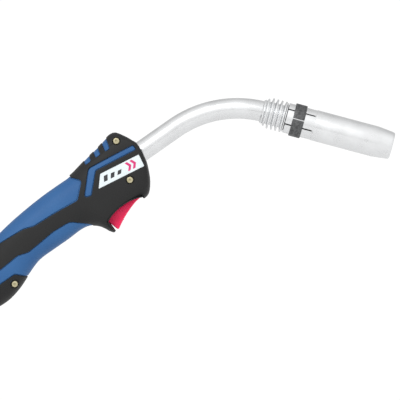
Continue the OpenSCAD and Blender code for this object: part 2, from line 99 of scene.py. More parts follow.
# ---- Handle surface ------------------------------------------------------------------------------
class HandleSurface:
    """The right-hand half of the grip as a surface over flat coordinates, in mm: s runs from the
    rear to the front, t from -HALF_GIRTH under the grip to HALF_GIRTH on top of it."""
    HALF_GIRTH = 33.0

    def __init__(self, stations=421, around=201):
        last = len(ROWS) - 1
        u = np.linspace(0.0, last, stations)
        i = np.minimum(u.astype(int), last - 1)
        f = (u - i)[:, None]
        a, b = ROWS[np.maximum(i - 1, 0)], ROWS[i]
        c, d = ROWS[i + 1], ROWS[np.minimum(i + 2, last)]
        rows = 0.5 * (2 * b + (c - a) * f + (2 * a - 5 * b + 4 * c - d) * f ** 2
                      + (3 * b - a - 3 * c + d) * f ** 3)
        angle = np.linspace(-math.pi / 2, math.pi / 2, 801)
        grid = np.zeros((stations, around, 3))
        for k, row in enumerate(rows):
            power = 2.0 / row[5]
            up = np.sign(np.sin(angle)) * np.abs(np.sin(angle)) ** power
            out = np.abs(np.cos(angle)) ** power * row[4] * HANDLE_W / 2
            ring = np.stack([(row[0] + row[2]) / 2 + (row[0] - row[2]) / 2 * up, -out,
                             (row[1] + row[3]) / 2 + (row[1] - row[3]) / 2 * up], axis=1)
            ring[0, 1] = ring[-1, 1] = 0.0
            run = np.concatenate([[0.0], np.cumsum(np.linalg.norm(np.diff(ring, axis=0), axis=1))])
            even = np.linspace(0.0, run[-1], around)
            for axis in range(3):
                grid[k, :, axis] = np.interp(even, run, ring[:, axis])
        self.points = grid
        across = np.gradient(grid, axis=1)
        across[:, (0, -1), 0] = across[:, (0, -1), 2] = 0.0
        normals = np.cross(across, np.gradient(grid, axis=0))
        normals /= np.linalg.norm(normals, axis=2, keepdims=True)
        self.normals = normals if normals[stations // 2, around // 2, 1] < 0 else -normals
        steps = np.linalg.norm(np.diff(grid, axis=0), axis=2).mean(axis=1)
        self.run = np.concatenate([[0.0], np.cumsum(steps)])
        self.length = self.run[-1]

    def sample(self, field, s, t):
        row = np.clip(np.interp(s, self.run, np.arange(len(self.run))), 0, len(self.run) - 1.001)
        col = np.clip((t / self.HALF_GIRTH + 1) / 2, 0, 1) * (field.shape[1] - 1.001)
        i, j = row.astype(int), col.astype(int)
        f, g = (row - i)[:, None], (col - j)[:, None]
        return ((1 - f) * (1 - g) * field[i, j] + f * (1 - g) * field[i + 1, j]
                + (1 - f) * g * field[i, j + 1] + f * g * field[i + 1, j + 1])

    def place(self, flat):
        """Flat points (s, t, height above the surface) to places in the torch's frame."""
        s, t, height = flat[:, 0], flat[:, 1], flat[:, 2]
        point = self.sample(self.points, s, t)
        normal = self.sample(self.normals, s, t)
        normal /= np.linalg.norm(normal, axis=1, keepdims=True)
        return point + normal * height[:, None]

    def flatten(self, x, z):
        """The flat point that lies at (x, z) in the side view. A place outside the side outline
        goes past the edge on which the two shells meet."""
        gap = (self.points[:, :, 0] - x) ** 2 + (self.points[:, :, 2] - z) ** 2
        i, j = np.unravel_index(np.argmin(gap), gap.shape)
        count = gap.shape[1] - 1
        if j in (0, count) and gap[i, j] > 0.09:
            return self.run[i], (1 if j else -1) * (self.HALF_GIRTH + math.sqrt(gap[i, j]))
        i1, j1 = min(max(i, 1), gap.shape[0] - 2), min(max(j, 1), count - 1)
        along = (self.points[i1 + 1, j1] - self.points[i1 - 1, j1])[[0, 2]] / 2
        across = (self.points[i1, j1 + 1] - self.points[i1, j1 - 1])[[0, 2]] / 2
        miss = np.array([x, z]) - self.points[i, j][[0, 2]]
        di, dj = np.linalg.lstsq(np.stack([along, across], axis=1), miss, rcond=1e-3)[0]
        di, dj = np.clip(di, -0.7, 0.7), np.clip(dj, -0.7, 0.7)
        s = np.interp(i + di, np.arange(len(self.run)), self.run)
        return s, ((j + dj) / count * 2 - 1) * self.HALF_GIRTH


SURFACE = HandleSurface()
GIRTH = SURFACE.HALF_GIRTH


# ---- Materials -----------------------------------------------------------------------------------
def linear(colour):
    """An sRGB hex colour as linear RGBA."""
    parts = [int(colour[i:i + 2], 16) / 255 for i in (1, 3, 5)]
    return tuple(p / 12.92 if p <= 0.04045 else ((p + 0.055) / 1.055) ** 2.4 for p in parts) + (1.0,)


def add(tree, kind, inputs=None, **settings):
    """Adds a node, with its settings, and with a value or a link for each input named."""
    node = tree.nodes.new(kind)
    for key, value in settings.items():
        setattr(node, key, value)
    for key, value in (inputs or {}).items():
        if isinstance(value, bpy.types.NodeSocket):
            tree.links.new(value, node.inputs[key])
        else:
            node.inputs[key].default_value = value
    return node


def ramp(tree, value, *stops):
    """A colour ramp through (position, hex colour) stops."""
    node = add(tree, "ShaderNodeValToRGB", {"Fac": value})
    points = node.color_ramp.elements
    while len(points) < len(stops):
        points.new(0.5)
    for point, (place, colour) in zip(points, stops):
        point.position = place
        point.color = linear(colour)
    return node.outputs["Color"]


def spread(tree, value, low, high):
    """Spreads a pattern's middle, 0.3 to 0.7, over low to high."""
    node = add(tree, "ShaderNodeMapRange", {"Value": value, "From Min": 0.3, "From Max": 0.7,
                                            "To Min": low, "To Max": high})
    return node.outputs["Result"]


def noise(tree, where, size_mm, detail=2.0, rough=0.5):
    """Noise whose lumps are size_mm across."""
    node = add(tree, "ShaderNodeTexNoise", {"Vector": where, "Scale": 1 / (size_mm * MM),
                                            "Detail": detail, "Roughness": rough})
    return node.outputs["Fac"]


def begin(name):
    mat = bpy.data.materials.new(name)
    mat.use_nodes = True
    mat.node_tree.nodes.clear()
    where = add(mat.node_tree, "ShaderNodeTexCoord").outputs["Object"]
    return mat, mat.node_tree, where


def end(mat, **inputs):
    shader = add(mat.node_tree, "ShaderNodeBsdfPrincipled",
                 {key.replace("_", " "): value for key, value in inputs.items()})
    add(mat.node_tree, "ShaderNodeOutputMaterial", {"Surface": shader.outputs["BSDF"]})
    return mat


def bump(tree, height, depth_mm, below=None):
    inputs = {"Height": height, "Strength": 1.0, "Distance": depth_mm * MM}
    if below is not None:
        inputs["Normal"] = below
    return add(tree, "ShaderNodeBump", inputs).outputs["Normal"]


def grained(name, dark, light, patch_mm, grain_mm, depth_mm, rough, metallic=0.0, ior=1.5):
    """A plain finish: tone that drifts over patch_mm, and a grain of grain_mm that is depth_mm deep."""
    mat, tree, where = begin(name)
    patches = noise(tree, where, patch_mm, detail=4.0)
    grain = noise(tree, where, grain_mm)
    facts = {"Base_Color": ramp(tree, patches, (0.3, dark), (0.7, light)), "Metallic": metallic,
             "Roughness": spread(tree, grain, *rough), "Normal": bump(tree, grain, depth_mm)}
    if not metallic:
        facts["IOR"] = ior
    return end(mat, **facts)


def soft_grip_rubber():
    """Thermoplastic rubber, moulded in a blasted cavity: charcoal, matt, with a fine pebble grain that
    skin oil has polished a little in broad patches."""
    mat, tree, where = begin("thermoplastic_rubber_blasted")
    pebbles = add(tree, "ShaderNodeTexVoronoi", {"Vector": where, "Scale": 1 / (0.55 * MM),
                                                 "Randomness": 1.0}, feature="SMOOTH_F1")
    fine = noise(tree, where, 0.3)
    worn = noise(tree, where, 22.0, detail=3.0)
    tone = ramp(tree, worn, (0.3, "#121314"), (0.7, "#1A1A1A"))
    return end(mat, Base_Color=tone, Roughness=spread(tree, worn, 0.5, 0.62), IOR=1.42,
               Normal=bump(tree, fine, 0.02, bump(tree, pebbles.outputs["Distance"], 0.035)))


def blue_nylon():
    """Glass-filled nylon, moulded: a clear mid blue with a satin skin, and a faint ripple where the
    fibres lie near the surface."""
    mat, tree, where = begin("glass_filled_nylon_blue")
    ripple = noise(tree, where, 1.4, detail=3.0)
    fine = noise(tree, where, 0.25)
    drift = noise(tree, where, 30.0)
    tone = ramp(tree, drift, (0.3, "#285A90"), (0.7, "#2E6197"))
    return end(mat, Base_Color=tone, Roughness=spread(tree, ripple, 0.44, 0.54), IOR=1.4,
               Normal=bump(tree, fine, 0.008, bump(tree, ripple, 0.015)))


def red_nylon():
    """Nylon in signal red, moulded: satin, with a fine blasted grain."""
    return grained("nylon_signal_red", "#F81F58", "#FE2862", 9.0, 0.35, 0.02, (0.42, 0.52), ior=1.4)


def turned_plating(name, dark, light, rough, turned=True):
    """Satin nickel plating: on turned pieces the tool's rings show along the axis, 0.35 mm apart,
    which is wider than the real feed so that they can be seen. On the drawn tube they don't."""
    mat, tree, where = begin(name)
    axis = add(tree, "ShaderNodeMapping", {"Vector": where, "Rotation": (0.0, -math.radians(140), 0.0)})
    parts = add(tree, "ShaderNodeSeparateXYZ", {"Vector": axis.outputs["Vector"]})
    rings = add(tree, "ShaderNodeTexNoise", {"W": parts.outputs["Z"], "Scale": 1 / (0.35 * MM),
                                             "Detail": 2.0}, noise_dimensions="1D").outputs["Fac"]
    cloud = noise(tree, where, 14.0, detail=4.0)
    grain = noise(tree, where, 0.4)
    marks = rings if turned else grain
    return end(mat, Base_Color=ramp(tree, cloud, (0.3, dark), (0.7, light)), Metallic=1.0,
               Roughness=spread(tree, cloud, *rough), Normal=bump(tree, marks, 0.006 if turned else 0.003))


def blackened_steel():
    """Spring steel, heat-blackened and oiled: dark grey with brown-grey mottling, duller where the
    oxide is thick."""
    mat, tree, where = begin("spring_steel_blackened")
    mottle = noise(tree, where, 1.8, detail=5.0, rough=0.6)
    scale = noise(tree, where, 0.35)
    return end(mat, Base_Color=ramp(tree, mottle, (0.32, "#464748"), (0.68, "#707172")), Metallic=0.75,
               Roughness=spread(tree, mottle, 0.56, 0.4), Normal=bump(tree, scale, 0.01))


def label_film():
    """Polycarbonate film, printed on the back: cool white under a semi-gloss skin."""
    return grained("polycarbonate_label_film", "#DCE6EA", "#E6EEF1", 7.0, 0.8, 0.003, (0.24, 0.32))


def wound_steel():
    """Spring-steel wire, close-wound into a liner: grey metal with a coarse grain."""
    return grained("spring_steel_wound", "#8C8C8C", "#B5B5B3", 3.0, 0.8, 0.08, (0.3, 0.45), metallic=1.0)


RUBBER = soft_grip_rubber()
BLUE = blue_nylon()
RED = red_nylon()
# Nickel over brass or copper, satin: a pale neutral silver
NOZZLE_PLATING = turned_plating("satin_nickel_turned", "#E4E5E6", "#EEEFF0", (0.24, 0.36))
TUBE_PLATING = turned_plating("satin_nickel_drawn_tube", "#E2E3E4", "#ECEDEE", (0.24, 0.36), turned=False)
BAND_STEEL = blackened_steel()
LABEL = label_film()
# Screen-printed ink: flat colour, a little glossy, that stands just proud of the film
INK_MAGENTA = grained("screen_ink_magenta", "#CF2A70", "#D9357A", 2.0, 0.3, 0.004, (0.3, 0.4))
INK_CHARCOAL = grained("screen_ink_charcoal", "#2A2B2D", "#36373A", 2.0, 0.3, 0.004, (0.3, 0.4))
# Zinc with a yellow passivation: pale straw metal with a faint bloom
ZINC = grained("zinc_yellow_passivated", "#BBB38E", "#CAC2A4", 1.6, 0.25, 0.006, (0.3, 0.45), metallic=1.0)
# Brass as turned: warm yellow, lightly tarnished in patches
BRASS = grained("brass_turned", "#9C7B3A", "#C7A255", 4.0, 0.3, 0.004, (0.24, 0.4), metallic=1.0)
# Copper as drawn: salmon, with browner oxide patches
COPPER = grained("copper_drawn", "#A0583A", "#C97C5A", 5.0, 0.3, 0.004, (0.22, 0.42), metallic=1.0)
# Nylon in black: satin with a fine blasted grain
BLACK_NYLON = grained("nylon_black", "#222325", "#2D2E30", 12.0, 0.35, 0.02, (0.42, 0.55))
# Nitrile rubber: black, matt, slightly bloomed
NITRILE = grained("nitrile_rubber", "#1C1C1C", "#2A2A2A", 5.0, 0.6, 0.02, (0.6, 0.75))
# Phenolic tube, filled with glass: tan, with the winding's mottle
PHENOLIC = grained("phenolic_glass_tube", "#8C7246", "#A88C5A", 3.0, 0.5, 0.02, (0.45, 0.6))
# Nylon, undyed: milky white
WHITE_NYLON = grained("nylon_natural", "#D6D4CA", "#E4E2D8", 8.0, 0.4, 0.01, (0.35, 0.5))
# Alumina ceramic, fired: cream, dry
CERAMIC = grained("alumina_ceramic_fired", "#D3C8B2", "#E3DAC8", 4.0, 0.3, 0.015, (0.5, 0.65))
# PVC sleeve: dark red, glossy
PVC = grained("pvc_sleeve_red", "#6E1A18", "#822420", 6.0, 0.6, 0.006, (0.25, 0.35))
# Steel pins and spring wire: ground, bright
GROUND_STEEL = grained("steel_ground", "#9A9B9C", "#BCBDBE", 2.0, 0.2, 0.003, (0.2, 0.35), metallic=1.0)
LINER_STEEL = wound_steel()

CAD_FINISH = {
    "shell_right": BLUE, "shell_left": BLUE, "grip_skin_right": RUBBER, "grip_skin_left": RUBBER,
    "badge_right": LABEL, "badge_left": LABEL, "handle_screws": ZINC, "screw_inserts": BRASS,
    "cable_collar": BLACK_NYLON, "neck_grommet": NITRILE, "neck_jacket": TUBE_PLATING,
    "neck_insulation": PHENOLIC, "neck_conductor": COPPER, "wire_liner": LINER_STEEL,
    "torch_body": BRASS, "neck_nut": BRASS, "finned_head": NOZZLE_PLATING,
    # The nozzle insulator is black nylon; where it shows through the nozzle's slots its black also stands in
    # for painted shade in the slots.
    "nozzle_insulator": BLACK_NYLON, "tip_adapter": BRASS, "gas_diffuser": CERAMIC,
    "contact_tip": COPPER, "switch_body": BLACK_NYLON, "switch_terminals": BRASS,
    "switch_leads": PVC, "lead_connectors": WHITE_NYLON, "trigger_pin": GROUND_STEEL,
    "trigger_spring": GROUND_STEEL, "trigger": RED, "switch_plunger": WHITE_NYLON,
    "gas_nozzle": NOZZLE_PLATING, "nozzle_band": BAND_STEEL,
}
for node_name, finish in CAD_FINISH.items():
    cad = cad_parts[node_name]
    for cad_slot in cad.material_slots:
        cad_slot.material = finish


# ---- Mesh helpers --------------------------------------------------------------------------------
def piece(bm, name, finish, body="handle", stands_for=(), sharp=38.0):
    """Turns a closed shape in mm into a piece in metres, with smooth faces that break where the
    surface turns by more than sharp degrees."""
    bmesh.ops.remove_doubles(bm, verts=bm.verts, dist=2e-4)
    bmesh.ops.recalc_face_normals(bm, faces=bm.faces)
    bmesh.ops.scale(bm, vec=(MM, MM, MM), verts=bm.verts)
    for face in bm.faces:
        face.smooth = True
    for edge in bm.edges:
        edge.smooth = len(edge.link_faces) == 2 and edge.calc_face_angle(0.0) < math.radians(sharp)
    mesh = bpy.data.meshes.new(name)
    bm.to_mesh(mesh)
    bm.free()
    mesh.materials.append(finish)
    obj = bpy.data.objects.new(name, mesh)
    bpy.context.collection.objects.link(obj)
    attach(obj, body)
    if stands_for:
        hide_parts(*stands_for)
    return obj


def combine(shape, tool, operation="DIFFERENCE"):
    """Cuts or crosses one closed shape with another, and gives the result."""
    pair = []
    for part in (shape, tool):
        mesh = bpy.data.meshes.new("blank")
        part.to_mesh(mesh)
        part.free()
        obj = bpy.data.objects.new("blank", mesh)
        bpy.context.collection.objects.link(obj)
        pair.append(obj)
    cutter = pair[0].modifiers.new("cut", "BOOLEAN")
    cutter.operation = operation
    cutter.object = pair[1]
    cutter.solver = "EXACT"
    done = pair[0].evaluated_get(bpy.context.evaluated_depsgraph_get())
    result = bmesh.new()
    result.from_mesh(done.to_mesh())
    for obj in pair:
        mesh = obj.data
        bpy.data.objects.remove(obj)
        bpy.data.meshes.remove(mesh)
    return result


def join(*shapes):
    """Several closed shapes as one."""
    mesh = bpy.data.meshes.new("blank")
    whole = bmesh.new()
    for shape in shapes:
        shape.to_mesh(mesh)
        shape.free()
        whole.from_mesh(mesh)
    bpy.data.meshes.remove(mesh)
    return whole


def mirrored(bm):
    """A copy of the shape on the other side of the mirror plane."""
    other = bm.copy()
    bmesh.ops.scale(other, vec=(1, -1, 1), verts=other.verts)
    bmesh.ops.reverse_faces(other, faces=other.faces)
    return other


def prism(loop, low, high):
    """A flat loop pulled up from height low to height high."""
    bm = bmesh.new()
    face = bm.faces.new([bm.verts.new((p[0], p[1], low)) for p in loop])
    pulled = bmesh.ops.extrude_face_region(bm, geom=[face])["geom"]
    lifted = [v for v in pulled if isinstance(v, bmesh.types.BMVert)]
    bmesh.ops.translate(bm, vec=(0, 0, high - low), verts=lifted)
    bmesh.ops.recalc_face_normals(bm, faces=bm.faces)
    return bm


def side_prism(loop, y0, y1):
    """A side-view loop (x, z) as a prism between two y values."""
    bm = prism(loop, -y1, -y0)
    bmesh.ops.rotate(bm, matrix=Matrix.Rotation(math.pi / 2, 3, "X"), verts=bm.verts)
    return bm


def rounded_prism(loop, half, rim):
    """A side-view loop as a prism between y = -half and half, with both rims rounded."""
    bm = prism(loop, rim - half, half - rim)
    for side in (1, -1):
        cap = [f for f in bm.faces if f.normal.z * side > 0.9]
        before = 0.0
        for angle in (30.0, 60.0, 90.0):
            now = math.radians(angle)
            bmesh.ops.inset_region(bm, faces=cap, use_boundary=True, use_even_offset=True,
                                   thickness=rim * (math.cos(before) - math.cos(now)),
                                   depth=rim * (math.sin(now) - math.sin(before)))
            before = now
    bmesh.ops.rotate(bm, matrix=Matrix.Rotation(math.pi / 2, 3, "X"), verts=bm.verts)
    return bm


def turned(profile, steps=96, arc=360.0, start=0.0):
    """A closed profile of (radius, place along the axis) points, turned about the Z axis."""
    bm = bmesh.new()
    verts = [bm.verts.new((r, 0.0, s)) for r, s in profile]
    edges = [bm.edges.new((verts[i - 1], verts[i])) for i in range(len(verts))]
    bmesh.ops.rotate(bm, matrix=Matrix.Rotation(math.radians(start), 3, "Z"), verts=bm.verts)
    full = arc == 360.0
    bmesh.ops.spin(bm, geom=verts + edges, cent=(0, 0, 0), axis=(0, 0, 1), angle=math.radians(arc),
                   steps=steps, use_merge=full, use_duplicate=False)
    if full:
        bmesh.ops.remove_doubles(bm, verts=bm.verts, dist=1e-4)
    else:
        bmesh.ops.holes_fill(bm, edges=[e for e in bm.edges if e.is_boundary], sides=0)
    bmesh.ops.recalc_face_normals(bm, faces=bm.faces)
    return bm


def at_head(bm):
    """Moves a shape made along +Z to the straight front part of the neck."""
    bmesh.ops.transform(bm, matrix=HEAD_PLACE, verts=bm.verts)
    return bm


def along_x(bm, x=0.0, z=0.0):
    """Turns a shape made along +Z to lie along +X, and moves it."""
    turn = Matrix.Translation((x, 0, z)) @ Matrix.Rotation(math.pi / 2, 4, "Y")
    bmesh.ops.transform(bm, matrix=turn, verts=bm.verts)
    return bm


def into_side(bm, x, y, z):
    """Turns a shape made along +Z so that +Z goes into the torch from its right side, along +Y."""
    turn = Matrix.Translation((x, y, z)) @ Matrix.Rotation(-math.pi / 2, 4, "X")
    bmesh.ops.transform(bm, matrix=turn, verts=bm.verts)
    return bm


def round_off(points, radius, segments=5):
    """The closed outline with each corner turned into an arc of about that radius. A corner given
    as (x, z, r) has its own radius."""
    out = []
    count = len(points)
    for k, corner in enumerate(points):
        here = Vector(corner[:2])
        back = Vector(points[k - 1][:2]) - here
        on = Vector(points[(k + 1) % count][:2]) - here
        r = corner[2] if len(corner) > 2 else radius
        half = back.angle(on) / 2
        if half > math.radians(85):
            out.append(here)
            continue
        reach = min(r / max(math.tan(half), 1e-3), 0.46 * back.length, 0.46 * on.length)
        a, b = here + back.normalized() * reach, here + on.normalized() * reach
        for i in range(segments + 1):
            f = i / segments
            out.append(a * (1 - f) ** 2 + here * (2 * f * (1 - f)) + b * f ** 2)
    return [(p.x, p.y) for p in out]


def finer(points, step):
    """The closed outline with no edge longer than step."""
    out = []
    for k, p in enumerate(points):
        q = points[(k + 1) % len(points)]
        pieces = max(1, math.ceil(math.dist(p, q) / step))
        out += [(p[0] + (q[0] - p[0]) * i / pieces, p[1] + (q[1] - p[1]) * i / pieces)
                for i in range(pieces)]
    return out


def grown(loop, by):
    """The closed outline moved outwards by a distance."""
    area = sum(loop[k - 1][0] * p[1] - p[0] * loop[k - 1][1] for k, p in enumerate(loop))
    out = []
    for k, p in enumerate(loop):
        along = (Vector(loop[(k + 1) % len(loop)]) - Vector(loop[k - 1])).normalized()
        side = by if area > 0 else -by
        moved = (p[0] + along.y * side, p[1] - along.x * side)
        if not out or math.dist(moved, out[-1]) > 0.1:
            out.append(moved)
    return out


def on_grip(points, radius=2.0, grow=0.0):
    """A side-view outline with rounded corners, in the grip's flat coordinates."""
    return [SURFACE.flatten(x, z) for x, z in grown(finer(round_off(points, radius), 2.0), grow)]


def disc(x, z, radius, count=28):
    turn = 2 * math.pi / count
    return [SURFACE.flatten(x + radius * math.cos(turn * k), z + radius * math.sin(turn * k))
            for k in range(count)]


def shrunk(loop, gap):
    """The flat face inside a loop, set in by gap."""
    bm = bmesh.new()
    face = bm.faces.new([bm.verts.new((s, t, 0.0)) for s, t in loop])
    if gap:
        bmesh.ops.inset_region(bm, faces=[face], thickness=gap, depth=0.0, use_boundary=True,
                               use_even_offset=True)
        keep = max(bm.faces, key=lambda f: f.calc_area())
        bmesh.ops.delete(bm, geom=[f for f in bm.faces if f is not keep], context="FACES")
    return bm


def thick(bm, low, high):
    """A flat sheet made solid, from height low to height high."""
    bmesh.ops.translate(bm, vec=(0, 0, low), verts=bm.verts)
    pulled = bmesh.ops.extrude_face_region(bm, geom=bm.faces[:])["geom"]
    lifted = [v for v in pulled if isinstance(v, bmesh.types.BMVert)]
    bmesh.ops.translate(bm, vec=(0, 0, high - low), verts=lifted)
    bmesh.ops.recalc_face_normals(bm, faces=bm.faces)
    return bm


def skin_over(domain, low, high, rim, relief=None, lines=(), grid=(2.5, 1.5)):
    """A slab on the grip's surface. domain is a flat solid whose top gives its outline. The slab
    runs from height low to height high, and its upper edge is rounded to the radius rim. relief
    gives how much deeper each flat point lies, and lines are flat lines to cut the faces along."""
    bm = domain
    top = max(v.co.z for v in bm.verts)
    unwanted = [f for f in bm.faces if min(v.co.z for v in f.verts) < top - 1e-4]
    bmesh.ops.delete(bm, geom=unwanted, context="FACES")
    bmesh.ops.remove_doubles(bm, verts=bm.verts, dist=1e-3)
    bmesh.ops.dissolve_degenerate(bm, edges=bm.edges, dist=1e-3)
    for vert in bm.verts:
        vert.co.z = 0.0
    bmesh.ops.triangulate(bm, faces=bm.faces, ngon_method="BEAUTY")
    thick(bm, low, high - rim)
    upper = [f for f in bm.faces if f.normal.z > 0.5]
    before = 0.0
    for angle in (30.0, 60.0, 90.0):
        now = math.radians(angle)
        bmesh.ops.inset_region(bm, faces=upper, use_boundary=True, use_even_offset=True,
                               thickness=rim * (math.cos(before) - math.cos(now)),
                               depth=rim * (math.sin(now) - math.sin(before)))
        before = now
    for axis, step in enumerate(grid):
        low_end = min(v.co[axis] for v in bm.verts)
        high_end = max(v.co[axis] for v in bm.verts)
        normal = Vector((1 - axis, axis, 0))
        for k in range(math.ceil(low_end / step), math.floor(high_end / step) + 1):
            bmesh.ops.bisect_plane(bm, geom=bm.verts[:] + bm.edges[:] + bm.faces[:], dist=1e-4,
                                   plane_co=normal * (k * step), plane_no=normal)
    for place, normal in lines:
        bmesh.ops.bisect_plane(bm, geom=bm.verts[:] + bm.edges[:] + bm.faces[:], dist=1e-4,
                               plane_co=(place[0], place[1], 0), plane_no=(normal[0], normal[1], 0))
    flat = np.array([v.co for v in bm.verts])
    if relief:
        flat[:, 2] -= relief(flat)
    for vert, place in zip(bm.verts, SURFACE.place(flat)):
        vert.co = place
    return bm


# ---- Grip ----------------------------------------------------------------------------------------
SKIN_TOP = -0.05
PAD_TOP = -0.5
PAD_FLOOR = -SKIN_T - 0.15
LABEL_TOP = -0.35
INK_TOP = -0.3
# The skin's windows are larger than the outlines below and the blue pads smaller, so that a shadowed
# groove shows round the blue
WINDOW_GROWTH = 0.55
PANEL_GAP = 0.55
STRIPE_GAP = 0.45
RIB_GAP = 0.25
# Side-view outlines: x, z and the radius of the corner
UPPER_PANEL = [(13, 36, 0.5), (17.5, 20.4, 4), (30, 21.4, 6), (44, 20.6, 6), (62, 19.2, 8), (70.5, 16.2, 6),
               (90, 15.2, 12), (109.8, 13.3, 3), (120.9, 24, 2.5), (115, 31.5, 1.5), (114.5, 42, 0.5)]
LOWER_PANEL = [(11, -2, 1), (14, 2.5, 2), (30, 2.6, 10), (46.5, 3.8, 6), (55, 1.1, 6), (66, 1.9, 10),
               (80, 3.2, 10), (95, 2.2, 9), (107.2, -9, 1.5), (108, -16, 0.5), (60, -26, 0.5),
               (43.6, -22, 0.5), (43.2, -13.4, 1), (36.5, -6.2, 4), (20, -6, 4), (13.5, -5.6, 1.5)]
STRIPE = [(116, 11.5, 1.5), (131.3, 28.3, 4), (170.2, 23.1, 1.1), (170.3, 19.5, 1.1), (134.8, 24.3, 3),
          (120.9, 10.1, 1.2)]
TOP_SLOTS = [
    [(149.9, 32, 1.2), (153.5, 32, 1.2), (156.2, 46, 0.3), (152.2, 46, 0.3)],
    [(141, 32.7, 1.2), (144.6, 32.7, 1.2), (146.8, 44, 0.3), (142.6, 44, 0.3)],
    [(131, 33, 1.2), (135.6, 33, 1.2), (137.8, 43, 0.3), (132.7, 43, 0.3)],
]
BADGE = [(128.7, 10.7, 0.4), (136.4, 19.6, 0.5), (169.9, 14.8, 0.4), (168.4, 4.9, 0.5)]
RECESS_CENTRE = (136.9, -50.0)
RECESS_R = 40.0
RECESS_X = (119.2, 154.0)
SCREWS = [(161.5, 33.6, -16.2), (152.8, 2.4, -18.0), (31.7, -12.7, -13.2)]
SCREW_HOLE_R = 3.4
# The crease along the hood over the neck, at about 30 mm in the side view
CREASE = [SURFACE.flatten(x, z) for x, z in ((114.5, 30.6), (172.0, 27.2))]


def smooth_step(value, low, high):
    f = np.clip((value - low) / (high - low), 0.0, 1.0)
    return f * f * (3.0 - 2.0 * f)


def crease_relief(flat):
    """The hood's top lies a little deeper than its sides, above the crease."""
    (s0, t0), (s1, t1) = CREASE
    level = t0 + (t1 - t0) * np.clip((flat[:, 0] - s0) / (s1 - s0), 0.0, 1.0)
    return 0.5 * smooth_step(flat[:, 1] - level, -0.7, 0.7) * smooth_step(flat[:, 0], s0 - 1.0, s0 + 8.0)


def hood_relief(flat):
    """The upper panel dives under the hood's sharp rear edge."""
    return 0.62 * smooth_step(flat[:, 0], SURFACE.flatten(86, 20)[0], SURFACE.flatten(112, 20)[0])


def finger_recess():
    """The arch under the front of the grip, as a side-view outline."""
    arc = []
    for k in range(21):
        x = RECESS_X[0] + (RECESS_X[1] - RECESS_X[0]) * k / 20
        arc.append((x, RECESS_CENTRE[1] + math.sqrt(RECESS_R ** 2 - (x - RECESS_CENTRE[0]) ** 2)))
    return [(RECESS_X[0], -60.0)] + arc + [(RECESS_X[1], -60.0)]


def neck_hole():
    """Flat points on the front of the grip, round the hole that the neck comes out of."""
    points = []
    front_rows = 70
    front = SURFACE.points[-front_rows:]
    for k in range(21):
        a = math.pi * k / 20
        y, z = -(NECK_R + 0.1) * math.sin(a), NECK_Z - (NECK_R + 0.1) * math.cos(a)
        gap = (front[:, :, 1] - y) ** 2 + (front[:, :, 2] - z) ** 2
        i, j = np.unravel_index(np.argmin(gap), gap.shape)
        points.append((SURFACE.run[i - front_rows], (j / (gap.shape[1] - 1) * 2 - 1) * GIRTH))
    points[0] = (points[0][0], -GIRTH)
    points[-1] = (points[-1][0], GIRTH)
    return points


def grip_skin(with_screws):
    """The soft skin of one side: everything but the windows that the blue shell shows through."""
    skin = prism([(0.0, -GIRTH)] + neck_hole() + [(0.0, GIRTH)], -1.0, 1.0)
    loops = [on_grip(BADGE)]
    loops += [on_grip(outline, grow=WINDOW_GROWTH) for outline in (UPPER_PANEL, LOWER_PANEL, STRIPE)]
    loops += [on_grip(outline, grow=WINDOW_GROWTH) for outline in TOP_SLOTS]
    loops.append([SURFACE.flatten(x, z) for x, z in finer(finger_recess(), 2.0)])
    if with_screws:
        loops += [disc(x, z, SCREW_HOLE_R) for x, z, _ in SCREWS]
    for loop in loops:
        skin = combine(skin, prism(loop, -3.0, 3.0))
    (s0, t0), (s1, t1) = CREASE
    across = (t0 - t1, s1 - s0)
    size = math.hypot(*across)
    lines = [((s0, t0 + offset * 0.7), (across[0] / size, across[1] / size)) for offset in (-1, 0, 1)]
    return skin_over(skin, -SKIN_T, SKIN_TOP, 0.35, relief=crease_relief, lines=lines)


def pad(loop, gap, top, rim, relief=None, floor=PAD_FLOOR):
    """A raised piece of the hard shell that fills a window of the skin, less the gap round it."""
    blank = prism([(-1.0, -GIRTH), (SURFACE.length, -GIRTH), (SURFACE.length, GIRTH), (-1.0, GIRTH)],
                  -1.0, 1.0)
    return skin_over(combine(blank, thick(shrunk(loop, gap), -2.0, 2.0), "INTERSECT"), floor, top, rim,
                     relief=relief)


def both_sides(bm, name, finish, replaces=None):
    other = mirrored(bm)
    piece(bm, name + "_right", finish, stands_for=[replaces + "_right"] if replaces else ())
    piece(other, name + "_left", finish, stands_for=[replaces + "_left"] if replaces else ())


def grip():
    piece(grip_skin(True), "soft_skin_right", RUBBER, stands_for=["grip_skin_right"])
    piece(mirrored(grip_skin(False)), "soft_skin_left", RUBBER, stands_for=["grip_skin_left"])
    upper = pad(on_grip(UPPER_PANEL), PANEL_GAP, PAD_TOP, 0.6, hood_relief)
    both_sides(upper, "upper_panel", BLUE)
    both_sides(pad(on_grip(LOWER_PANEL), PANEL_GAP, PAD_TOP, 0.6), "lower_panel", BLUE)
    both_sides(pad(on_grip(STRIPE), STRIPE_GAP, PAD_TOP, 0.5), "stripe", BLUE)
    ribs = join(*[pad(on_grip(outline), RIB_GAP, PAD_TOP, 0.45, crease_relief) for outline in TOP_SLOTS])
    both_sides(ribs, "top_ribs", BLUE)
    both_sides(pad(on_grip(BADGE), 0.1, LABEL_TOP, 0.08), "badge_plate", LABEL, replaces="badge")


